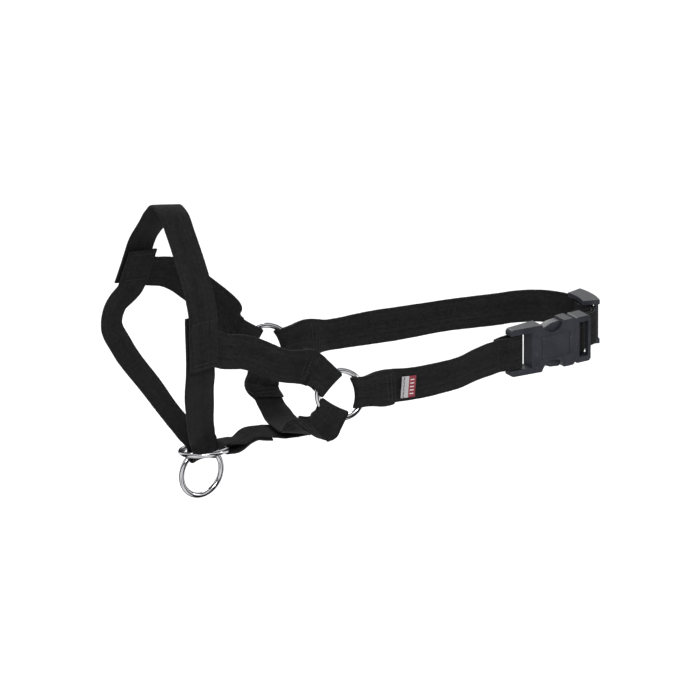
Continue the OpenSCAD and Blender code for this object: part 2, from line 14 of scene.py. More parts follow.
import bmesh
import bpy
import numpy as np
from mathutils import Matrix, Vector, noise
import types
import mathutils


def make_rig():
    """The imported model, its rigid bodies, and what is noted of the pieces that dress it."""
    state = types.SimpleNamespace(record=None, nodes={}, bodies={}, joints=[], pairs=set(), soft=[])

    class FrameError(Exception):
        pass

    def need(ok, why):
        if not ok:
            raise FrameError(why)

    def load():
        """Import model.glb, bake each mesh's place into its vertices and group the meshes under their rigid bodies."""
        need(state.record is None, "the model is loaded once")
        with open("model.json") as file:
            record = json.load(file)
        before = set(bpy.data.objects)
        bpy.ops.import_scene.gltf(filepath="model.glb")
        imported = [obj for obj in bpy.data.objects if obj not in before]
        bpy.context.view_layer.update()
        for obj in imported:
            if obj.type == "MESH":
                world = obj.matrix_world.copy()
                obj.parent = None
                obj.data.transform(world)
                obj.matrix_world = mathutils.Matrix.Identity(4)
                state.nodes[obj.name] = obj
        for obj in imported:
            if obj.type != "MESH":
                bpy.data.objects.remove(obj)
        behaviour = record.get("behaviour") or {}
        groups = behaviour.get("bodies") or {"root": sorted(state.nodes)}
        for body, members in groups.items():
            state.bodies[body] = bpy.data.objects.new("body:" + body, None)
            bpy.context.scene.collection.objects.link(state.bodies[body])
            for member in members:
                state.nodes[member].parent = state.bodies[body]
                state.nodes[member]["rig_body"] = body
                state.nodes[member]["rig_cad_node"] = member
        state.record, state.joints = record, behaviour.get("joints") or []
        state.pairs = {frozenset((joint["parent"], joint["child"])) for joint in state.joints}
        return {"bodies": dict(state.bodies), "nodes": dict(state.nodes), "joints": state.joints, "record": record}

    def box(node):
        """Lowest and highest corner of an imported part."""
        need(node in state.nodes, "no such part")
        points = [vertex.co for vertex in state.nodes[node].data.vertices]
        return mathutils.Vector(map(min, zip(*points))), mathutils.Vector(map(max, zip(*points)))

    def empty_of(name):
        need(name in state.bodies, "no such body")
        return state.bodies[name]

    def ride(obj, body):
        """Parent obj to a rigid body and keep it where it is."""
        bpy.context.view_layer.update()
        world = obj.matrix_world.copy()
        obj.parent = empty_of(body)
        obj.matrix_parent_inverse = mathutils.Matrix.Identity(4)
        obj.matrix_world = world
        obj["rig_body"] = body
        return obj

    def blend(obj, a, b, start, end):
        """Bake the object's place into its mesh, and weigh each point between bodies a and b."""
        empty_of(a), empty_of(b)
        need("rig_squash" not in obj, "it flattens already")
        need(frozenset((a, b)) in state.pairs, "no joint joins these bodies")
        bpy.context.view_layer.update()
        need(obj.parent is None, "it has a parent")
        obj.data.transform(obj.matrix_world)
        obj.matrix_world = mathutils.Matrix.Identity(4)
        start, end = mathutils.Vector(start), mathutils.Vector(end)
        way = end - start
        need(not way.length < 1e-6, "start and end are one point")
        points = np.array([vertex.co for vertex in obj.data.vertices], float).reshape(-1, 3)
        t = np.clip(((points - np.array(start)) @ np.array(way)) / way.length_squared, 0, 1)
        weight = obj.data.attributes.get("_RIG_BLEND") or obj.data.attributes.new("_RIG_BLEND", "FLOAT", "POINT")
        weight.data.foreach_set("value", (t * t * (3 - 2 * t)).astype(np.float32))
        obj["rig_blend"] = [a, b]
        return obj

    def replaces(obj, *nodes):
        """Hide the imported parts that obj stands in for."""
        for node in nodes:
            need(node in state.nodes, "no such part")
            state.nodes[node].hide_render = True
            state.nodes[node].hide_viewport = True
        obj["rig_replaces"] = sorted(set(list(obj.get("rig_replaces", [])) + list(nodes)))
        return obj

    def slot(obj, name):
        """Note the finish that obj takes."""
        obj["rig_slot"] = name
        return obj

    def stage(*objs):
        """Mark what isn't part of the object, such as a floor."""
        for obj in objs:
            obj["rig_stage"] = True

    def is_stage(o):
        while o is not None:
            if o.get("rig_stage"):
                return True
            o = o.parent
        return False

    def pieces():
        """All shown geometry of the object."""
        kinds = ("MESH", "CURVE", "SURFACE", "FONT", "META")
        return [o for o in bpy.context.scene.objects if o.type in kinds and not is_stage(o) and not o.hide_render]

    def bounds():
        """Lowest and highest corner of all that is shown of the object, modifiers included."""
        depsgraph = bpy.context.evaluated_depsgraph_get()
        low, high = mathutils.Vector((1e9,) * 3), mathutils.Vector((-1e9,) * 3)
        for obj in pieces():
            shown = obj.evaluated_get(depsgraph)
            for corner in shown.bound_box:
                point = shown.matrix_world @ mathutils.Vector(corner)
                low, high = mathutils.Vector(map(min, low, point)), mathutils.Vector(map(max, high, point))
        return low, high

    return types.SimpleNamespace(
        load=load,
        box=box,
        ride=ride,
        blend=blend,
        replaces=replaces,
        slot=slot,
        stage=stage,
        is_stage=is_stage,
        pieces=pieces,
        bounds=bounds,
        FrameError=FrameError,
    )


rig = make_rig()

LOG = logging.getLogger("halter")
MM = 0.001
ROOT_BODY = "halter"


class Side(Enum):
    """Which way a piece faces."""

    OUTSIDE = 1
    INSIDE = -1


# ---------------------------------------------------------------- small helpers


def smoothstep(low: float, high: float, value: float) -> float:
    """Eased share of the way from low to high.

    Args:
        low: value that gives 0.
        high: value that gives 1.
        value: where to measure.

    Returns:
        A number from 0 to 1.
    """
    share = min(max((value - low) / (high - low), 0.0), 1.0)
    return share * share * (3 - 2 * share)


def link(name: str, mesh: bmesh.types.BMesh, smooth: bool = True) -> bpy.types.Object:
    """Turns a bmesh into an object at the origin.

    Args:
        name: name of the new piece.
        mesh: the shape, which is freed.
        smooth: whether its faces are shaded smooth.

    Returns:
        The linked object.
    """
    data = bpy.data.meshes.new(name)
    for face in mesh.faces:
        face.smooth = smooth
    mesh.to_mesh(data)
    mesh.free()
    piece = bpy.data.objects.new(name, data)
    bpy.context.scene.collection.objects.link(piece)
    return piece


def merged_copy(node: str) -> bmesh.types.BMesh:
    """Closed copy of a frame node's mesh, with its loose triangles welded.

    Args:
        node: name of the frame node.

    Returns:
        A new bmesh.
    """
    mesh = bmesh.new()
    mesh.from_mesh(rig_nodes()[node].data)
    bmesh.ops.remove_doubles(mesh, verts=mesh.verts, dist=1e-6)
    mesh.verts.ensure_lookup_table()
    return mesh


def bake(piece: bpy.types.Object) -> None:
    """Gives a piece the mesh that its modifiers make, and clears them.

    Args:
        piece: the piece.
    """
    graph = bpy.context.evaluated_depsgraph_get()
    final = bpy.data.meshes.new_from_object(
        piece.evaluated_get(graph), preserve_all_data_layers=True, depsgraph=graph
    )
    piece.modifiers.clear()
    piece.data = final


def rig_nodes() -> dict[str, bpy.types.Object]:
    """Frame nodes by name."""
    return {o["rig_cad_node"]: o for o in bpy.data.objects if "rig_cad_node" in o}


def vertex_array(mesh: bmesh.types.BMesh) -> np.ndarray:
    """Places of a bmesh's vertices, one row each."""
    return np.array([v.co[:] for v in mesh.verts], float)


# ---------------------------------------------------------------- shader tools


class Nodes:
    """Short way to add and join shader nodes in one tree."""

    def __init__(self, tree: bpy.types.NodeTree) -> None:
        """Keeps the tree that nodes are added to."""
        self.tree = tree

    def add(self, kind: str, inputs: dict | None = None, **settings) -> bpy.types.Node:
        """Adds a node.

        Args:
            kind: Blender's node type.
            inputs: input name or number to a value, or to an output socket to join.
            settings: properties of the node.

        Returns:
            The new node.
        """
        made = self.tree.nodes.new(kind)
        for key, value in settings.items():
            setattr(made, key, value)
        for key, value in (inputs or {}).items():
            socket = made.inputs[key]
            if isinstance(value, bpy.types.NodeSocket):
                self.tree.links.new(value, socket)
            else:
                socket.default_value = value
        return made

    def math(self, operation: str, *values, clamp: bool = False) -> bpy.types.NodeSocket:
        """Adds a Math node.

        Args:
            operation: Blender's name of the operation.
            values: numbers or sockets.
            clamp: whether the result is kept from 0 to 1.

        Returns:
            Its output socket.
        """
        made = self.add("ShaderNodeMath", dict(enumerate(values)), operation=operation, use_clamp=clamp)
        return made.outputs[0]

    def mix(self, share, first, second) -> bpy.types.NodeSocket:
        """Mixes two colours by share and gives the colour socket."""
        made = self.add("ShaderNodeMix", data_type="RGBA")
        for socket, value in ((made.inputs[0], share), (made.inputs[6], first), (made.inputs[7], second)):
            if isinstance(value, bpy.types.NodeSocket):
                self.tree.links.new(value, socket)
            else:
                socket.default_value = value
        return made.outputs[2]

    def noise(self, vector, scale: float, detail: float = 2.0) -> bpy.types.NodeSocket:
        """Adds a noise texture and gives its Fac socket."""
        made = self.add("ShaderNodeTexNoise", {"Vector": vector, "Scale": scale, "Detail": detail})
        return made.outputs["Fac"]


def group_tree(
    name: str, takes: dict[str, str], gives: dict[str, str]
) -> tuple[bpy.types.NodeTree, Nodes, dict, dict]:
    """Starts a node group.

    Args:
        name: the group's name.
        takes: input names and their socket types.
        gives: output names and their socket types.

    Returns:
        The tree, its Nodes helper, its input sockets and its output node's inputs.
    """
    tree = bpy.data.node_groups.new(name, "ShaderNodeTree")
    for key, kind in takes.items():
        tree.interface.new_socket(key, in_out="INPUT", socket_type=kind)
    for key, kind in gives.items():
        tree.interface.new_socket(key, in_out="OUTPUT", socket_type=kind)
    nodes = Nodes(tree)
    source = nodes.add("NodeGroupInput")
    sink = nodes.add("NodeGroupOutput")
    return tree, nodes, source.outputs, sink.inputs


def weave_group() -> bpy.types.NodeTree:
    """Plain weave of flat yarns: columns of short floats, each column half a step on.

    Returns:
        A group from a place along and across the cloth, in millimetres, to its height,
        each yarn's own shade and a mask of the gaps between yarns, which the finishes darken as painted shade.
    """
    number, vector = "NodeSocketFloat", "NodeSocketVector"
    tree, n, takes, gives = group_tree(
        "Plain weave",
        {"Place": vector, "Yarn width": number, "Float length": number, "Irregularity": number},
        {"Height": number, "Shade": number, "Gap": number},
    )
    wobble = n.add("ShaderNodeTexNoise", {"Vector": takes["Place"], "Scale": 0.9, "Detail": 1.0})
    middle = (0.5, 0.5, 0.5)
    shift = n.add("ShaderNodeVectorMath", {0: wobble.outputs["Color"], 1: middle}, operation="SUBTRACT")
    scaled = {0: shift.outputs[0], "Scale": takes["Irregularity"]}
    amount = n.add("ShaderNodeVectorMath", scaled, operation="SCALE")
    place = n.add("ShaderNodeVectorMath", {0: takes["Place"], 1: amount.outputs[0]}, operation="ADD")
    split = n.add("ShaderNodeSeparateXYZ", {0: place.outputs[0]})
    column = n.math("DIVIDE", split.outputs[1], takes["Yarn width"])
    index = n.math("FLOOR", column)
    half_turn = n.math("MULTIPLY", n.math("PINGPONG", index, 1.0), 0.5)
    row = n.math("ADD", n.math("DIVIDE", split.outputs[0], takes["Float length"]), half_turn)
    across = n.math("SINE", n.math("MULTIPLY", n.math("FRACT", column), math.pi))
    along = n.math("SINE", n.math("MULTIPLY", n.math("FRACT", row), math.pi))
    crown = n.math("MULTIPLY", n.math("POWER", across, 0.6), n.math("POWER", along, 0.5))
    cell = n.add("ShaderNodeCombineXYZ", {0: n.math("FLOOR", row), 1: index})
    chance = n.add("ShaderNodeTexWhiteNoise", {"Vector": cell.outputs[0]}, noise_dimensions="2D")
    yarn = n.add("ShaderNodeTexWhiteNoise", {"W": index}, noise_dimensions="1D")
    by_float, by_yarn = n.math("MULTIPLY", chance.outputs[0], 0.55), n.math("MULTIPLY", yarn.outputs[0], 0.45)
    shade = n.math("ADD", by_float, by_yarn)
    n.tree.links.new(crown, gives["Height"])
    n.tree.links.new(shade, gives["Shade"])
    # The gap mask only darkens colour in the finishes: painted shade between the yarns.
    n.tree.links.new(n.math("SUBTRACT", 1.0, crown, clamp=True), gives["Gap"])
    return tree


def scuff_group() -> bpy.types.NodeTree:
    """Fine scratches and soft smudges on a hard surface.

    Returns:
        A group from Object coordinates to a scratch mask and a smudge mask.
    """
    number, vector = "NodeSocketFloat", "NodeSocketVector"
    tree, n, takes, gives = group_tree(
        "Scuffs", {"Place": vector, "Scratch scale": number}, {"Scratches": number, "Smudges": number}
    )
    turned = {"Vector": takes["Place"], "Rotation": (0.3, 0.5, 0.9), "Scale": (1, 9, 2)}
    stretched = n.add("ShaderNodeMapping", turned)
    fine = {"Vector": stretched.outputs[0], "Scale": takes["Scratch scale"], "Detail": 3.0}
    lines = n.add("ShaderNodeTexNoise", fine)
    thin = n.add("ShaderNodeValToRGB", {"Fac": lines.outputs["Fac"]})
    thin.color_ramp.elements[0].position = 0.62
    thin.color_ramp.elements[1].position = 0.72
    smudge = n.add("ShaderNodeTexNoise", {"Vector": takes["Place"], "Scale": 120.0, "Detail": 4.0})
    n.tree.links.new(thin.outputs[0], gives["Scratches"])
    n.tree.links.new(smudge.outputs["Fac"], gives["Smudges"])
    return tree


@dataclass(frozen=True)
class Finish:
    """A material by name, with the record's slot that it belongs to."""

    name: str
    slot: str

    def start(self) -> tuple[bpy.types.Material, Nodes, bpy.types.Node]:
        """Starts an empty material with a Principled shader.

        Returns:
            The material, its Nodes helper and the shader.
        """
        material = bpy.data.materials.new(self.name)
        material.use_nodes = True
        material.node_tree.nodes.clear()
        nodes = Nodes(material.node_tree)
        shader = nodes.add("ShaderNodeBsdfPrincipled")
        nodes.add("ShaderNodeOutputMaterial", {"Surface": shader.outputs[0]})
        return material, nodes, shader

    def build(self) -> bpy.types.Material:
        """Makes the material."""
        raise NotImplementedError


@dataclass(frozen=True)
class WebbingFinish(Finish):
    """Woven nylon webbing: yarn floats, gaps darkened as painted shade, smoother selvedges and lint."""

    base: tuple[float, float, float] = (0.0035, 0.0035, 0.0038)
    bright: tuple[float, float, float] = (0.014, 0.014, 0.015)
    yarn_mm: float = 0.95
    float_mm: float = 1.7
    half_width_mm: float = 10.0

    def build(self) -> bpy.types.Material:
        """Makes the material from the strap's own UV map, which is in millimetres."""
        material, n, shader = self.start()
        uv = n.add("ShaderNodeUVMap", uv_map="Webbing")
        weave = n.add("ShaderNodeGroup", node_tree=bpy.data.node_groups["Plain weave"])
        n.tree.links.new(uv.outputs[0], weave.inputs["Place"])
        weave.inputs["Yarn width"].default_value = self.yarn_mm
        weave.inputs["Float length"].default_value = self.float_mm
        weave.inputs["Irregularity"].default_value = 0.22
        split = n.add("ShaderNodeSeparateXYZ", {0: uv.outputs[0]})
        from_edge = n.math("SUBTRACT", self.half_width_mm, n.math("ABSOLUTE", split.outputs[1]))
        selvedge = n.math("SUBTRACT", 1.0, n.math("DIVIDE", from_edge, 1.3), clamp=True)
        worn = n.noise(uv.outputs[0], 0.055, 4.0)
        drawn = n.add("ShaderNodeMapping", {"Vector": uv.outputs[0], "Scale": (0.75, 0.13, 1)})
        streaks = n.noise(drawn.outputs[0], 1.0, 3.0)
        shade = n.math("MULTIPLY", weave.outputs["Shade"], n.math("ADD", worn, streaks))
        cloth = n.mix(shade, (*self.base, 1), (*self.bright, 1))
        # Painted shade: the gaps between yarns are darkened towards near black.
        cloth = n.mix(n.math("MULTIPLY", weave.outputs["Gap"], 0.75), cloth, (0.001, 0.001, 0.001, 1))
        place = n.add("ShaderNodeTexCoord")
        lint = n.add("ShaderNodeValToRGB", {"Fac": n.noise(place.outputs["Object"], 2600.0, 1.0)})
        lint.color_ramp.elements[0].position = 0.73
        lint.color_ramp.elements[1].position = 0.8
        cloth = n.mix(n.math("MULTIPLY", lint.outputs[0], 0.2), cloth, (0.05, 0.05, 0.055, 1))
        n.tree.links.new(cloth, shader.inputs["Base Color"])
        rough = n.math("SUBTRACT", 0.78, n.math("MULTIPLY", selvedge, 0.18))
        n.tree.links.new(n.math("SUBTRACT", rough, n.math("MULTIPLY", worn, 0.12)), shader.inputs["Roughness"])
        shader.inputs["Specular IOR Level"].default_value = 0.16
        shader.inputs["Sheen Weight"].default_value = 0.012
        shader.inputs["Sheen Roughness"].default_value = 0.4
        fuzz = n.noise(uv.outputs[0], 6.0, 3.0)
        height = n.math("ADD", weave.outputs["Height"], n.math("MULTIPLY", fuzz, 0.25))
        bump = n.add("ShaderNodeBump", {"Strength": 0.75, "Distance": 0.0003, "Height": height})
        n.tree.links.new(bump.outputs[0], shader.inputs["Normal"])
        return material


@dataclass(frozen=True)
class ThreadFinish(Finish):
    """Bonded sewing thread with a fine twist, its crowns lightened and its grooves darkened as painted light and
    shade.
    """

    base: tuple[float, float, float] = (0.008, 0.008, 0.0085)

    def build(self) -> bpy.types.Material:
        """Makes the material."""
        material, n, shader = self.start()
        place = n.add("ShaderNodeTexCoord")
        twisted = {"Vector": place.outputs["Object"], "Scale": 1500.0, "Distortion": 1.5}
        twist = n.add("ShaderNodeTexWave", twisted)
        # Painted light and shade: the twist's crowns are lighter and its grooves darker, following the bump's height.
        tint = n.mix(twist.outputs["Fac"], (*self.base, 1), (0.024, 0.024, 0.026, 1))
        n.tree.links.new(tint, shader.inputs["Base Color"])
        rough = n.math("ADD", 0.4, n.math("MULTIPLY", twist.outputs["Fac"], 0.2))
        n.tree.links.new(rough, shader.inputs["Roughness"])
        shader.inputs["Specular IOR Level"].default_value = 0.35
        bump = n.add("ShaderNodeBump", {"Strength": 0.5, "Distance": 0.0001, "Height": twist.outputs["Fac"]})
        n.tree.links.new(bump.outputs[0], shader.inputs["Normal"])
        return material


@dataclass(frozen=True)
class PlatedSteelFinish(Finish):
    """Nickel-plated, polished steel wire with fine scratches."""

    def build(self) -> bpy.types.Material:
        """Makes the material."""
        material, n, shader = self.start()
        place = n.add("ShaderNodeTexCoord")
        scuffs = n.add("ShaderNodeGroup", node_tree=bpy.data.node_groups["Scuffs"])
        n.tree.links.new(place.outputs["Object"], scuffs.inputs["Place"])
        scuffs.inputs["Scratch scale"].default_value = 900.0
        tint = n.mix(scuffs.outputs["Smudges"], (0.55, 0.55, 0.57, 1), (0.72, 0.72, 0.74, 1))
        n.tree.links.new(tint, shader.inputs["Base Color"])
        shader.inputs["Metallic"].default_value = 1.0
        soft = n.math("MULTIPLY", scuffs.outputs["Smudges"], 0.14)
        rough = n.math("ADD", n.math("ADD", 0.08, soft), n.math("MULTIPLY", scuffs.outputs["Scratches"], 0.15))
        n.tree.links.new(rough, shader.inputs["Roughness"])
        relief = {"Strength": 0.12, "Distance": 0.00005, "Height": scuffs.outputs["Scratches"]}
        bump = n.add("ShaderNodeBump", relief)
        n.tree.links.new(bump.outputs[0], shader.inputs["Normal"])
        return material


@dataclass(frozen=True)
class MouldedFinish(Finish):
    """Moulded acetal: a fine spark-eroded grain, soft gloss and light scuffs."""

    base: tuple[float, float, float] = (0.010, 0.0105, 0.015)
    pale: tuple[float, float, float] = (0.024, 0.025, 0.034)

    def build(self) -> bpy.types.Material:
        """Makes the material."""
        material, n, shader = self.start()
        place = n.add("ShaderNodeTexCoord")
        scuffs = n.add("ShaderNodeGroup", node_tree=bpy.data.node_groups["Scuffs"])
        n.tree.links.new(place.outputs["Object"], scuffs.inputs["Place"])
        scuffs.inputs["Scratch scale"].default_value = 420.0
        tint = n.mix(scuffs.outputs["Smudges"], (*self.base, 1), (*self.pale, 1))
        tint = n.mix(n.math("MULTIPLY", scuffs.outputs["Scratches"], 0.3), tint, (0.09, 0.09, 0.1, 1))
        n.tree.links.new(tint, shader.inputs["Base Color"])
        grain = n.noise(place.outputs["Object"], 3200.0, 2.0)
        rough = n.math("ADD", 0.3, n.math("MULTIPLY", scuffs.outputs["Smudges"], 0.18))
        n.tree.links.new(n.math("ADD", rough, n.math("MULTIPLY", grain, 0.08)), shader.inputs["Roughness"])
        shader.inputs["Specular IOR Level"].default_value = 0.42
        bump = n.add("ShaderNodeBump", {"Strength": 0.25, "Distance": 0.00006, "Height": grain})
        n.tree.links.new(bump.outputs[0], shader.inputs["Normal"])
        return material


@dataclass(frozen=True)
class LabelFinish(Finish):
    """Fine damask label: a pale half, and a dark red half with plain stripes."""

    length_mm: float = 9.6
    half_height_mm: float = 6.7

    def build(self) -> bpy.types.Material:
        """Makes the material from the label's own UV map, which is in millimetres."""
        material, n, shader = self.start()
        uv = n.add("ShaderNodeUVMap", uv_map="Webbing")
        weave = n.add("ShaderNodeGroup", node_tree=bpy.data.node_groups["Plain weave"])
        n.tree.links.new(uv.outputs[0], weave.inputs["Place"])
        weave.inputs["Yarn width"].default_value = 0.22
        weave.inputs["Float length"].default_value = 0.5
        weave.inputs["Irregularity"].default_value = 0.05
        split = n.add("ShaderNodeSeparateXYZ", {0: uv.outputs[0]})
        red_half = n.math("GREATER_THAN", split.outputs[0], self.length_mm * 0.5)
        stripes = n.math("LESS_THAN", n.math("PINGPONG", split.outputs[1], 1.1), 0.32)
        inner = n.math("LESS_THAN", n.math("ABSOLUTE", split.outputs[1]), self.half_height_mm * 0.72)
        from_middle = n.math("ABSOLUTE", n.math("SUBTRACT", split.outputs[0], self.length_mm * 0.74))
        column = n.math("LESS_THAN", from_middle, 1.3)
        marks = n.math("MULTIPLY", n.math("MULTIPLY", stripes, inner), column)
        red = n.mix(marks, (0.2, 0.012, 0.025, 1), (0.62, 0.55, 0.55, 1))
        cloth = n.mix(red_half, (0.36, 0.35, 0.36, 1), red)
        # Painted shade: the gaps between the label's threads are darkened.
        cloth = n.mix(n.math("MULTIPLY", weave.outputs["Gap"], 0.35), cloth, (0.05, 0.03, 0.035, 1))
        n.tree.links.new(cloth, shader.inputs["Base Color"])
        rough = n.math("ADD", 0.55, n.math("MULTIPLY", weave.outputs["Shade"], 0.2))
        n.tree.links.new(rough, shader.inputs["Roughness"])
        relief = {"Strength": 0.4, "Distance": 0.00008, "Height": weave.outputs["Height"]}
        bump = n.add("ShaderNodeBump", relief)
        n.tree.links.new(bump.outputs[0], shader.inputs["Normal"])
        return material


@dataclass
class Finishes:
    """The halter's materials, each built once."""

    webbing: Finish = WebbingFinish("Black nylon webbing", "webbing")
    thread: Finish = ThreadFinish("Black bonded thread", "thread")
    steel: Finish = PlatedSteelFinish("Polished plated steel", "ring_steel")
    moulded: Finish = MouldedFinish("Slate black acetal", "buckle_plastic")
    label: Finish = LabelFinish("Two-tone woven label", "tag")
    made: dict[str, bpy.types.Material] = field(default_factory=dict)

    def build(self) -> None:
        """Builds the shared groups and then every material."""
        weave_group()
        scuff_group()
        for finish in (self.webbing, self.thread, self.steel, self.moulded, self.label):
            self.made[finish.name] = finish.build()

    def dress(self, piece: bpy.types.Object, finish: Finish) -> None:
        """Gives a piece its only material.

        Args:
            piece: the object to dress.
            finish: which finish it gets.
        """
        piece.data.materials.clear()
        piece.data.materials.append(self.made[finish.name])
        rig.slot(piece, finish.slot)


# ---------------------------------------------------------------- rings and the warp


@dataclass
class WireRing:
    """A welded ring of round wire, measured from its frame node."""

    node: str
    body: str
    weld_angle: float
    sections: int = 128
    wire_sides: int = 28

    def __post_init__(self) -> None:
        """Measures the ring's centre, its normal, its radius and its wire."""
        mesh = merged_copy(self.node)
        points = vertex_array(mesh)
        mesh.free()
        centre = (points.max(0) + points.min(0)) / 2
        flat = points - centre
        self.centre = Vector(centre)
        self.normal = Vector(np.linalg.svd(flat, full_matrices=False)[2][2]).normalized()
        reach = np.linalg.norm(flat, axis=1)
        outer = reach.max()
        self.wire = float(np.abs(flat @ np.array(self.normal)).max())
        self.radius = float(outer - self.wire)

    def build(self, finishes: Finishes) -> bpy.types.Object:
        """Spins the wire round the ring, with a low weld bead.

        Args:
            finishes: the materials.

        Returns:
            The ring.
        """
        start = self.normal.orthogonal().normalized()
        mesh = bmesh.new()
        around = self.normal.cross(start)
        turn = Matrix((start, self.normal, around)).transposed().to_4x4()
        turn.translation = self.centre + start * self.radius
        bmesh.ops.create_circle(mesh, segments=self.wire_sides, radius=self.wire, matrix=turn)
        bmesh.ops.spin(
            mesh, geom=mesh.verts[:] + mesh.edges[:], cent=self.centre, axis=self.normal,
            angle=math.tau, steps=self.sections, use_merge=True,
        )
        for vert in mesh.verts:
            rel = vert.co - self.centre
            flat = rel - self.normal * rel.dot(self.normal)
            angle = math.atan2(flat.dot(around), flat.dot(start))
            gap = math.remainder(angle - self.weld_angle, math.tau)
            core = self.centre + flat.normalized() * self.radius
            bead = 0.045 * math.exp(-((gap / 0.055) ** 2)) - 0.02 * math.exp(-(((abs(gap) - 0.13) / 0.03) ** 2))
            vert.co = core + (vert.co - core) * (1 + bead)
        bmesh.ops.recalc_face_normals(mesh, faces=mesh.faces)
        piece = link(f"{self.node}_wire", mesh)
        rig.replaces(piece, self.node)
        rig.ride(piece, self.body)
        finishes.dress(piece, finishes.steel)
        return piece


@dataclass(frozen=True)
class Grip:
    """A fold of webbing round a ring's wire, which cups to the wire's curve."""

    ring: WireRing
    along: Vector
    half: float
    cup: float
    ease: float = 0.016

    def shift(self, place: Vector) -> Vector:
        """How far the cupped webbing lies from the plain fold.

        Args:
            place: a point of the plain webbing.

        Returns:
            The move to add, zero away from the fold.
        """
        rel = place - self.ring.centre
        side = self.ring.normal.cross(self.along)
        reach, lateral, out = rel.dot(self.along), rel.dot(side), rel.dot(self.ring.normal)
        if reach < 0 or abs(lateral) > self.half + 4 * MM or abs(out) > 9 * MM:
            return Vector()
        radius = self.ring.radius
        chord = math.sqrt(radius**2 - self.half**2)
        curve = math.sqrt(radius**2 - min(abs(lateral), self.half) ** 2) - chord
        start = chord + 3 * MM
        return self.along * curve * self.cup * (1 - smoothstep(start, start + self.ease, reach))


@dataclass
class Drape:
    """The small bends that soft pieces share: cupping at rings and an easy unevenness."""

    grips: list[Grip]
    hardware: list[tuple[Vector, Vector]]
    unevenness: float = 0.0005
    wavelength: float = 0.034

    def clearance(self, place: Vector) -> float:
        """Distance from a place to the nearest piece of hardware's box."""
        nearest = 1.0
        for low, high in self.hardware:
            gap = Vector(max(low[i] - place[i], 0.0, place[i] - high[i]) for i in range(3))
            nearest = min(nearest, gap.length)
        return nearest

    def wander(self, place: Vector) -> Vector:
        """Smooth unevenness at a place, the same on every run."""
        at = place / self.wavelength
        return Vector(noise.noise(at + Vector((shift, shift, shift))) for shift in (0.0, 17.3, 41.9))

    def move(self, place: Vector) -> Vector:
        """Moves a point of the plain webbing to where it really lies.

        Args:
            place: a point of the plain webbing.

        Returns:
            Its draped place.
        """
        moved = place.copy()
        for grip in self.grips:
            moved += grip.shift(place)
        free = smoothstep(0.002, 0.03, self.clearance(place))
        if free > 0:
            moved += self.wander(place) * self.unevenness * 2 * free
        return moved


# ---------------------------------------------------------------- webbing


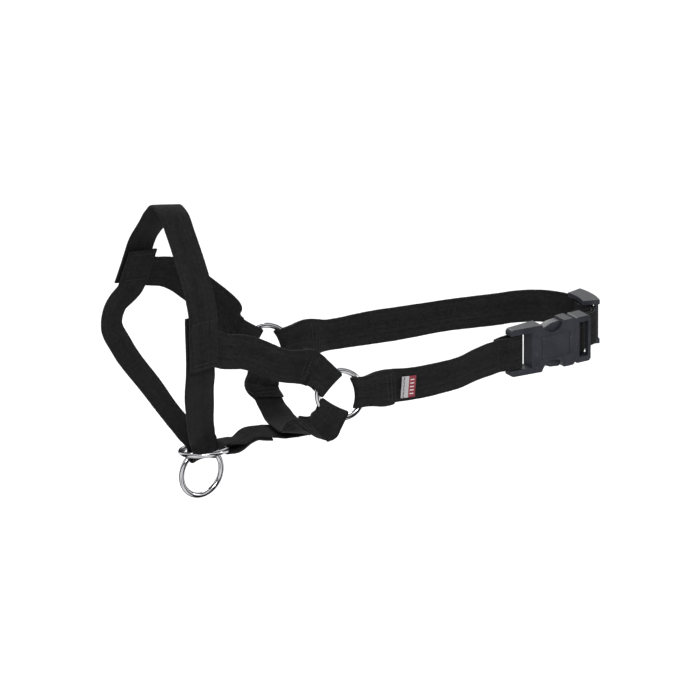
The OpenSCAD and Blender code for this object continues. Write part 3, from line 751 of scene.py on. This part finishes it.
@dataclass
class Route:
    """The middle line of a plain band in the frame, with its width and face directions."""

    places: np.ndarray
    wides: np.ndarray
    faces: np.ndarray

    @classmethod
    def of_node(cls, node: str) -> "Route":
        """Reads the route of a band that has four corners at each station.

        Args:
            node: name of the band's frame node.

        Returns:
            The route, from one cut end to the other.
        """
        mesh = merged_copy(node)
        near = {v.index: {e.other_vert(v).index for e in v.link_edges} for v in mesh.verts}
        points = vertex_array(mesh)
        mesh.free()
        ends = {i for i, others in near.items() if len(others) < 6}
        first = {min(ends)}
        while len(first) < 4:
            first |= set().union(*(near[i] for i in first)) & ends
        seen, rows = set(first), [sorted(first)]
        while len(seen) < len(points):
            row = set().union(*(near[i] for i in rows[-1])) - seen
            rows.append(sorted(row))
            seen |= row
        corners = [cls._corners(points[rows[0]])]
        for row in rows[1:]:
            options = cls._labelings(points[row])
            corners.append(min(options, key=lambda option: np.linalg.norm(option - corners[-1], axis=1).sum()))
        ring = np.array(corners)
        return cls(ring.mean(1), (ring[:, 1] + ring[:, 2] - ring[:, 0] - ring[:, 3]) / 4,
                   (ring[:, 2] + ring[:, 3] - ring[:, 0] - ring[:, 1]) / 4)

    @staticmethod
    def _corners(points: np.ndarray) -> np.ndarray:
        """Orders four corners: two on one face, then the two behind them."""
        gaps = np.linalg.norm(points - points[0], axis=1)
        order = np.argsort(gaps)
        return points[[0, order[2], order[3], order[1]]]

    @classmethod
    def _labelings(cls, points: np.ndarray) -> list[np.ndarray]:
        """The four ways to match a station's corners to the station before it."""
        base = cls._corners(points)
        return [base, base[[1, 0, 3, 2]], base[[3, 2, 1, 0]], base[[2, 3, 0, 1]]]

    def reversed(self) -> "Route":
        """The same route from its other end."""
        return Route(self.places[::-1], self.wides[::-1], self.faces[::-1])

    def joined(self, other: "Route") -> "Route":
        """Runs on into a route that starts or ends where this one starts or ends.

        Args:
            other: the route to run on into.

        Returns:
            One route through both, facing as the other does.
        """
        pairs = [(first, second) for first in (self, self.reversed()) for second in (other, other.reversed())]
        first, second = min(pairs, key=lambda pair: np.linalg.norm(pair[0].places[-1] - pair[1].places[0]))
        wide_sign = 1 if first.wides[-1] @ second.wides[0] > 0 else -1
        face_sign = 1 if first.faces[-1] @ second.faces[0] > 0 else -1
        return Route(np.vstack([first.places, second.places[1:]]),
                     np.vstack([first.wides * wide_sign, second.wides[1:]]),
                     np.vstack([first.faces * face_sign, second.faces[1:]]))

    def station(self, place: np.ndarray) -> int:
        """Number of the station that lies at a place."""
        return int(np.argmin(np.linalg.norm(self.places - place, axis=1)))

    def part(self, first: int, last: int) -> "Route":
        """The stations from one number to another, with both."""
        keep = slice(first, last + 1)
        return Route(self.places[keep], self.wides[keep], self.faces[keep])

    def lengths(self) -> np.ndarray:
        """Distance of each station along the route."""
        steps = np.linalg.norm(np.diff(self.places, axis=0), axis=1)
        return np.concatenate([[0], np.cumsum(steps)])

    def smooth(self, step: float) -> "Route":
        """Lays a finer, rounder route through the stations.

        Args:
            step: the longest step to keep.

        Returns:
            The new route.
        """
        length = self.lengths()
        fine = []
        for low, high in zip(length[:-1], length[1:]):
            count = max(2, math.ceil((high - low) / step))
            fine.extend(np.linspace(low, high, count, endpoint=False))
        hold = 0.15 * MM
        fine = np.array([*fine[:1], hold, *fine[1:], length[-1] - hold, length[-1]])
        return Route(*(self._spline(length, rows, fine) for rows in (self.places, self.wides, self.faces)))

    @staticmethod
    def _spline(length: np.ndarray, rows: np.ndarray, fine: np.ndarray) -> np.ndarray:
        """Cubic through the rows, with slopes weighted for uneven steps."""
        gaps = np.diff(length)[:, None]
        slopes = np.diff(rows, axis=0) / gaps
        inner = (slopes[1:] * gaps[:-1] + slopes[:-1] * gaps[1:]) / (gaps[1:] + gaps[:-1])
        tangent = np.vstack([slopes[:1], inner, slopes[-1:]])
        i = np.clip(np.searchsorted(length, fine, "right") - 1, 0, len(length) - 2)
        h = gaps[i]
        t = ((fine - length[i])[:, None]) / h
        return (
            (2 * t**3 - 3 * t**2 + 1) * rows[i] + (t**3 - 2 * t**2 + t) * h * tangent[i]
            + (3 * t**2 - 2 * t**3) * rows[i + 1] + (t**3 - t**2) * h * tangent[i + 1]
        )


@dataclass(frozen=True)
class Pull:
    """How a strap gives way between two bodies, from one place to another."""

    first: str
    second: str
    start: Vector
    end: Vector


@dataclass
class Strap:
    """One length of flat webbing with scalloped selvedges; its sealed ends are drawn as plain closed ends."""

    name: str
    nodes: tuple[str, ...]
    route: Route
    drape: Drape
    body: str = ROOT_BODY
    pull: Pull | None = None
    tucks: tuple[bool, bool] = (False, False)
    columns: int = 14
    edge: float = 0.9 * MM
    scallop: float = 0.07 * MM
    tuck_scale: tuple[float, float] = (0.985, 0.9)

    def build(self, finishes: Finishes) -> bpy.types.Object:
        """Lays a grid along the strap's route and gives it thickness.

        Args:
            finishes: the materials.

        Returns:
            The strap.
        """
        length = self.route.lengths()
        thick = 2 * float(np.linalg.norm(self.route.faces[len(length) // 2]))
        rows = len(length)
        mesh = bmesh.new()
        bmesh.ops.create_grid(mesh, x_segments=rows - 1, y_segments=self.columns, size=0.5)
        uv = mesh.loops.layers.uv.new("Webbing")
        rounding = mesh.verts.layers.deform.new()
        flow = {}
        for vert in mesh.verts:
            row = round((vert.co.x + 0.5) * (rows - 1))
            flow[vert] = (row, self._lateral(round((vert.co.y + 0.5) * self.columns)))
        for vert, (row, share) in flow.items():
            wide = Vector(self.route.wides[row])
            half = wide.length
            lateral = math.copysign(max(half - (1 - abs(share)) * 10 * MM, 0), share) if abs(share) > 0.8 else (
                share / 0.8 * (half - 2 * MM))
            ripple = noise.noise(Vector((length[row] * 260, share * 3, 0.3))) * 0.1 * MM * abs(share) ** 4
            ripple += math.copysign(self.scallop, share) * (1 if row % 2 else -1) * abs(share) ** 24
            narrower, thinner = self.tuck_scale if self._tucked(row, rows) else (1.0, 1.0)
            place = Vector(self.route.places[row]) + wide.normalized() * (lateral + ripple) * narrower
            vert.co = self.drape.move(place)
            from_edge = half - abs(lateral)
            rise = math.sqrt(max(0.0, 1 - (1 - from_edge / self.edge) ** 2))
            vert[rounding][0] = thinner * (1.0 if from_edge > self.edge else 0.35 + 0.65 * rise)
        for face in mesh.faces:
            for loop in face.loops:
                row, share = flow[loop.vert]
                loop[uv].uv = (length[row] / MM, share * 10)
        piece = link(f"{self.name}_webbing", mesh)
        piece.vertex_groups.new(name="rounding")
        shell = piece.modifiers.new("Thickness", "SOLIDIFY")
        shell.thickness = thick
        shell.offset = 0
        shell.vertex_group = "rounding"
        shell.use_even_offset = False
        soft = piece.modifiers.new("Round edges", "SUBSURF")
        soft.levels = soft.render_levels = 1
        if self.nodes:
            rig.replaces(piece, *self.nodes)
        if self.pull:
            bake(piece)
            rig.blend(piece, self.pull.first, self.pull.second, start=self.pull.start, end=self.pull.end)
        else:
            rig.ride(piece, self.body)
        finishes.dress(piece, finishes.webbing)
        return piece

    def _tucked(self, row: int, rows: int) -> bool:
        """Whether a row lies inside the next length of the same webbing."""
        return (self.tucks[0] and row == 0) or (self.tucks[1] and row == rows - 1)

    def _lateral(self, column: int) -> float:
        """Share of the half width at a column, with columns gathered at the selvedges."""
        ease = [-1.0, -0.97, -0.91]
        inner = self.columns - 2 * len(ease)
        if column < len(ease):
            return ease[column]
        if column > self.columns - len(ease):
            return -ease[self.columns - column]
        return -0.8 + 1.6 * (column - len(ease)) / inner


@dataclass
class StitchRows:
    """Rows of sewing thread where layers are joined, laid on both faces."""

    node: str
    drape: Drape
    body: str = ROOT_BODY
    pitch: float = 2.1 * MM
    thread: float = 0.24 * MM
    zigzag: float = 0.45 * MM

    def bars(self) -> list[np.ndarray]:
        """Corner points of each row's bar in the frame."""
        mesh = merged_copy(self.node)
        left, found = set(range(len(mesh.verts))), []
        while left:
            queue, part = [min(left)], []
            left.remove(queue[0])
            while queue:
                vert = mesh.verts[queue.pop()]
                part.append(vert.co[:])
                for other in (edge.other_vert(vert).index for edge in vert.link_edges):
                    if other in left:
                        left.remove(other)
                        queue.append(other)
            found.append(np.array(part))
        mesh.free()
        return sorted(found, key=lambda part: tuple(part.mean(0)))

    def build(self, finishes: Finishes) -> bpy.types.Object:
        """Lays short thread floats along every row.

        Args:
            finishes: the materials.

        Returns:
            The thread, as one piece.
        """
        mesh = bmesh.new()
        for bar in self.bars():
            centre = Vector(bar.mean(0))
            axes = np.linalg.svd(bar - bar.mean(0), full_matrices=False)[2]
            spans = [float(np.ptp((bar - bar.mean(0)) @ axis)) for axis in axes]
            along, out, across = (Vector(axis) for axis in axes)
            count = max(3, round(spans[0] / self.pitch))
            for face in Side:
                for k in range(count):
                    offset = (k + 0.5) / count - 0.5
                    lean = self.zigzag * (1 if k % 2 else -1)
                    place = centre + along * (offset * spans[0]) + out * face.value * (spans[1] / 2 - 0.18 * MM)
                    self._lay(mesh, self.drape.move(place), along, out, across, spans[0] / count, lean)
        bmesh.ops.recalc_face_normals(mesh, faces=mesh.faces)
        piece = link(f"{self.node}_thread", mesh)
        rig.replaces(piece, self.node)
        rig.ride(piece, self.body)
        finishes.dress(piece, finishes.thread)
        return piece

    def _lay(self, mesh: bmesh.types.BMesh, place: Vector, along: Vector, out: Vector, across: Vector,
             pitch: float, lean: float) -> None:
        """Adds one float of thread, pressed flat into the cloth.

        Args:
            mesh: the bmesh to add to.
            place: the float's middle.
            along: direction of its row.
            out: direction away from the cloth.
            across: direction across the row.
            pitch: length of one stitch.
            lean: how far its ends lean across the row.
        """
        direction = (along * pitch + across * lean).normalized()
        side = out.cross(direction)
        frame = Matrix((direction * pitch * 0.56, side * self.thread, out * self.thread)).transposed().to_4x4()
        frame.translation = place
        bmesh.ops.create_icosphere(mesh, subdivisions=1, radius=1.0, matrix=frame)


@dataclass
class WovenLabel:
    """The small folded label that is caught under the end of the near collar's flap."""

    node: str
    drape: Drape

    def build(self, finishes: Finishes) -> bpy.types.Object:
        """Lays a fine grid over the label's plain block and gives it thickness.

        Args:
            finishes: the materials.

        Returns:
            The label.
        """
        mesh = merged_copy(self.node)
        points = vertex_array(mesh)
        mesh.free()
        centre = points.mean(0)
        axes = np.linalg.svd(points - centre, full_matrices=False)[2]
        spans = [float(np.ptp((points - centre) @ axis)) for axis in axes]
        tall, long, out = (Vector(axis) for axis in axes)
        tall = tall if tall.z > 0 else -tall
        long = long if long.x > 0 else -long
        out = out if out.y < 0 else -out
        grid = bmesh.new()
        bmesh.ops.create_grid(grid, x_segments=16, y_segments=22, size=0.5)
        uv = grid.loops.layers.uv.new("Webbing")
        for vert in grid.verts:
            u, v = vert.co.x, vert.co.y
            vert.co.z = 0.0
            curl = 0.25 * MM * (u + 0.5) ** 2 + 0.12 * MM * math.sin(5 * v)
            place = Vector(centre) + long * u * spans[1] * 0.98 + tall * v * spans[0] * 0.97 + out * curl
            for loop in vert.link_loops:
                loop[uv].uv = ((u + 0.5) * spans[1] / MM, v * spans[0] / MM)
            vert.co = self.drape.move(place)
        piece = link(f"{self.node}_label", grid)
        shell = piece.modifiers.new("Thickness", "SOLIDIFY")
        shell.thickness = spans[2] * 0.8
        shell.offset = 0
        rim = piece.modifiers.new("Soft rim", "BEVEL")
        rim.width = 0.12 * MM
        rim.segments = 2
        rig.replaces(piece, self.node)
        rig.ride(piece, ROOT_BODY)
        finishes.dress(piece, finishes.label)
        return piece


# ---------------------------------------------------------------- mouldings


@dataclass
class Moulding:
    """A moulded plastic piece: the frame's exact shape with its edges broken."""

    node: str
    body: str
    name: str
    radius: float = 0.45 * MM
    segments: int = 3

    def build(self, finishes: Finishes) -> bpy.types.Object:
        """Welds a copy of the exact shape, clears its flat faces and rounds its edges.

        Args:
            finishes: the materials.

        Returns:
            The moulding.
        """
        mesh = merged_copy(self.node)
        bmesh.ops.dissolve_limit(
            mesh, angle_limit=math.radians(1.0), use_dissolve_boundaries=False,
            verts=mesh.verts, edges=mesh.edges, delimit=set(),
        )
        piece = link(self.name, mesh)
        edges = piece.modifiers.new("Broken edges", "BEVEL")
        edges.width = self.radius
        edges.segments = self.segments
        edges.limit_method = "ANGLE"
        edges.angle_limit = math.radians(32)
        edges.use_clamp_overlap = True
        piece.modifiers.new("Flat faces", "WEIGHTED_NORMAL")
        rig.replaces(piece, self.node)
        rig.ride(piece, self.body)
        finishes.dress(piece, finishes.moulded)
        return piece


# ---------------------------------------------------------------- the halter


@dataclass
class Halter:
    """The whole head halter, put together from its sub-assemblies."""

    finishes: Finishes
    straps: tuple[str, ...] = (
        "nose_strap_upper", "nose_strap_lower", "cheek_strap_near", "cheek_strap_far", "throat_strap",
        "chin_strap", "collar_strap_near",
    )
    step: float = 0.95 * MM
    give_station: int = 19
    sewn_station: int = 16
    folds: tuple[tuple[str, str, float], ...] = (
        ("cheek_ring_near", "cheek_strap_near", 0.15), ("cheek_ring_near", "throat_strap", 0.25),
        ("cheek_ring_near", "collar_strap_near", 0.7), ("cheek_ring_far", "cheek_strap_far", 0.15),
        ("cheek_ring_far", "throat_strap", 0.25), ("cheek_ring_far", "collar_strap_far", 0.6),
        ("chin_ring", "chin_strap", 0.6), ("lead_ring", "nose_strap_lower", 0.8),
    )

    def rings(self) -> dict[str, WireRing]:
        """The four wire rings by their frame node."""
        bodies = (
            ("cheek_ring_near", "near_cheek_ring", 0.4), ("cheek_ring_far", "far_cheek_ring", 2.2),
            ("chin_ring", "chin_o_ring", 1.1), ("lead_ring", "lead_o_ring", 3.6),
        )
        return {node: WireRing(node, body, weld) for node, body, weld in bodies}

    def grip(self, ring: WireRing, strap: str, cup: float) -> Grip:
        """Finds how a strap folds round a ring.

        Args:
            ring: the ring.
            strap: frame node of the strap.
            cup: how much of the wire's curve the fold takes up, from 0, straight, to 1.

        Returns:
            The grip of the strap on the ring's wire.
        """
        route = Route.of_node(strap)
        rel = route.places - np.array(ring.centre)
        near = int(np.argmin(np.linalg.norm(rel, axis=1)))
        along = Vector(rel[near])
        along = (along - ring.normal * along.dot(ring.normal)).normalized()
        return Grip(ring, along, float(np.linalg.norm(route.wides[near])), cup)

    def adjustable(self, drape: Drape) -> list[Strap]:
        """The long far strap: round the neck, through the slider, round the plug's bar and back.

        Args:
            drape: the small bends of the webbing.

        Returns:
            Its lengths: the long one, the one that gives as the slider moves, and the one sewn to the slider.
        """
        nodes = ("collar_strap_far", "adjuster_loop")
        collar, loop = (Route.of_node(node) for node in nodes)
        coarse = collar.joined(loop)
        run = coarse.smooth(self.step)
        from_tail = (self.give_station, self.sewn_station)
        give, sewn = (run.station(coarse.places[-number]) for number in from_tail)
        slider_edge, bar_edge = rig.box("strap_slider")[0].y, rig.box("buckle_plug")[1].y
        across = Vector(run.places[give])
        low, high = (Vector((across.x, edge, across.z)) for edge in (slider_edge, bar_edge))
        to_plug = Pull(ROOT_BODY, "plug", low, high)
        to_slider = Pull(ROOT_BODY, "slider", across, Vector(run.places[sewn]))
        last = len(run.places) - 1
        return [
            Strap("collar_strap_far", nodes, run.part(0, give), drape, pull=to_plug),
            Strap("adjuster_give", (), run.part(give - 1, sewn + 1), drape, pull=to_slider, tucks=(True, True)),
            Strap("adjuster_tail", (), run.part(sewn, last), drape, body="slider"),
        ]

    def build(self) -> list[bpy.types.Object]:
        """Builds every piece in order.

        Returns:
            The pieces.
        """
        rings = self.rings()
        grips = [self.grip(rings[ring], strap, cup) for ring, strap, cup in self.folds]
        hard = (*rings, "buckle_socket", "buckle_plug", "strap_slider")
        drape = Drape(grips, [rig.box(node) for node in hard])
        pieces = [ring.build(self.finishes) for ring in rings.values()]
        for node in self.straps:
            route = Route.of_node(node).smooth(self.step)
            pieces.append(Strap(node, (node,), route, drape).build(self.finishes))
        pieces += [strap.build(self.finishes) for strap in self.adjustable(drape)]
        endings = ("stitches", "stitches_near", "stitches_far")
        sewn = sorted(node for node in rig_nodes() if node.endswith(endings))
        carried = {"slider_stitches": "slider"}
        pieces += [StitchRows(node, drape, carried.get(node, ROOT_BODY)).build(self.finishes) for node in sewn]
        pieces.append(WovenLabel("woven_tag", drape).build(self.finishes))
        mouldings = (
            Moulding("buckle_socket", ROOT_BODY, "buckle_socket_body"),
            Moulding("buckle_plug", "plug", "buckle_plug_body", 0.35 * MM),
            Moulding("prong_upper", "upper_prong", "prong_upper_arm", 0.3 * MM),
            Moulding("prong_lower", "lower_prong", "prong_lower_arm", 0.3 * MM),
            Moulding("strap_slider", "slider", "strap_slider_body", 0.5 * MM),
        )
        pieces += [moulding.build(self.finishes) for moulding in mouldings]
        for piece in pieces:
            LOG.info("%s: %d faces", piece.name, len(piece.data.polygons))
        return pieces


@dataclass
class Studio:
    """Camera, soft lights and a pale floor."""

    aim: Vector
    distance: float = 12.0
    azimuth: float = -30.0
    elevation: float = 20.0
    frame_width: float = 0.3977
    floor_drop: float = 0.55

    def camera(self) -> None:
        """Sets the camera at the object's three-quarter view."""
        turn, rise = math.radians(self.azimuth), math.radians(self.elevation)
        back = Vector((math.sin(turn) * math.cos(rise), -math.cos(turn) * math.cos(rise), math.sin(rise)))
        data = bpy.data.cameras.new("Camera")
        data.lens = data.sensor_width * self.distance / self.frame_width
        camera = bpy.data.objects.new("Camera", data)
        camera.location = self.aim + back * self.distance
        camera.rotation_euler = back.to_track_quat("Z", "Y").to_euler()
        bpy.context.scene.collection.objects.link(camera)
        bpy.context.scene.camera = camera

    def lamp(self, name: str, place: tuple[float, float, float], size: float, power: float) -> None:
        """Adds a square soft light aimed at the object.

        Args:
            name: the light's name.
            place: where it stands, from the aim point.
            size: its side.
            power: its power in watts.
        """
        data = bpy.data.lights.new(name, "AREA")
        data.size = size
        data.energy = power
        light = bpy.data.objects.new(name, data)
        light.location = self.aim + Vector(place)
        light.rotation_euler = Vector(place).to_track_quat("Z", "Y").to_euler()
        bpy.context.scene.collection.objects.link(light)

    def floor(self) -> None:
        """Lays a wide pale floor well below the hanging halter."""
        mesh = bmesh.new()
        bmesh.ops.create_grid(mesh, x_segments=2, y_segments=2, size=9)
        bmesh.ops.translate(mesh, verts=mesh.verts, vec=Vector((self.aim.x, self.aim.y, -self.floor_drop)))
        floor = link("studio_floor", mesh)
        floor.visible_glossy = False
        material, nodes, shader = Finish("Pale floor", "").start()
        shader.inputs["Base Color"].default_value = (0.93, 0.93, 0.93, 1)
        shader.inputs["Roughness"].default_value = 0.9
        floor.data.materials.append(material)
        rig.stage(floor)

    def sky(self) -> None:
        """Fills the room with even light, and gives polished pieces soft boxes and black flags to mirror."""
        world = bpy.data.worlds.new("Studio")
        bpy.context.scene.world = world
        world.use_nodes = True
        world.node_tree.nodes.clear()
        n = Nodes(world.node_tree)
        way = n.add("ShaderNodeTexCoord").outputs["Generated"]
        wave = {"Vector": way, "Scale": 0.42, "Distortion": 2.2, "Detail": 1.0, "Detail Scale": 0.8,
                "Phase Offset": 1.9}
        bands = n.add("ShaderNodeTexWave", wave, bands_direction="DIAGONAL")
        boxes = n.add("ShaderNodeValToRGB", {"Fac": bands.outputs["Fac"]})
        ramp = boxes.color_ramp
        ramp.elements[0].position = 0.5
        ramp.elements[0].color = (0.02, 0.02, 0.022, 1)
        ramp.elements[1].position = 0.72
        ramp.elements[1].color = (1.0, 1.0, 1.0, 1)
        rays = n.add("ShaderNodeLightPath")
        mixed = n.mix(rays.outputs["Is Glossy Ray"], (1, 1, 1, 1), boxes.outputs[0])
        background = n.add("ShaderNodeBackground", {"Color": mixed, "Strength": 0.95})
        n.add("ShaderNodeOutputWorld", {"Surface": background.outputs[0]})

    def build(self) -> None:
        """Sets the whole stage."""
        self.camera()
        self.floor()
        self.sky()
        self.lamp("Key", (-0.9, -1.4, 1.5), 1.0, 26)
        self.lamp("Fill", (1.6, -0.9, 0.7), 0.8, 9)
        self.lamp("Back", (0.4, 1.4, 1.2), 0.8, 14)
        bpy.context.scene.view_settings.view_transform = "Standard"


def corners(box: tuple[Vector, Vector]) -> list[list[float]]:
    """A box as plain lists of numbers."""
    return [list(map(float, corner)) for corner in box]


def main() -> None:
    """Loads the frame, builds the stage and the halter, and writes the sizes."""
    logging.basicConfig(level=logging.INFO, format="%(name)s %(message)s")
    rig.load()
    frame_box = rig.bounds()
    low, high = Vector(frame_box[0]), Vector(frame_box[1])
    middle = (low + high) / 2
    Studio(aim=middle + Vector((-0.0387, -0.0546, 0.0034))).build()
    finishes = Finishes()
    finishes.build()
    Halter(finishes).build()
    sizes = {"frame": corners(frame_box), "visual": corners(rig.bounds())}
    with open("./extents.json", "w", encoding="utf-8") as out:
        json.dump(sizes, out)


if __name__ == "__main__":
    main()
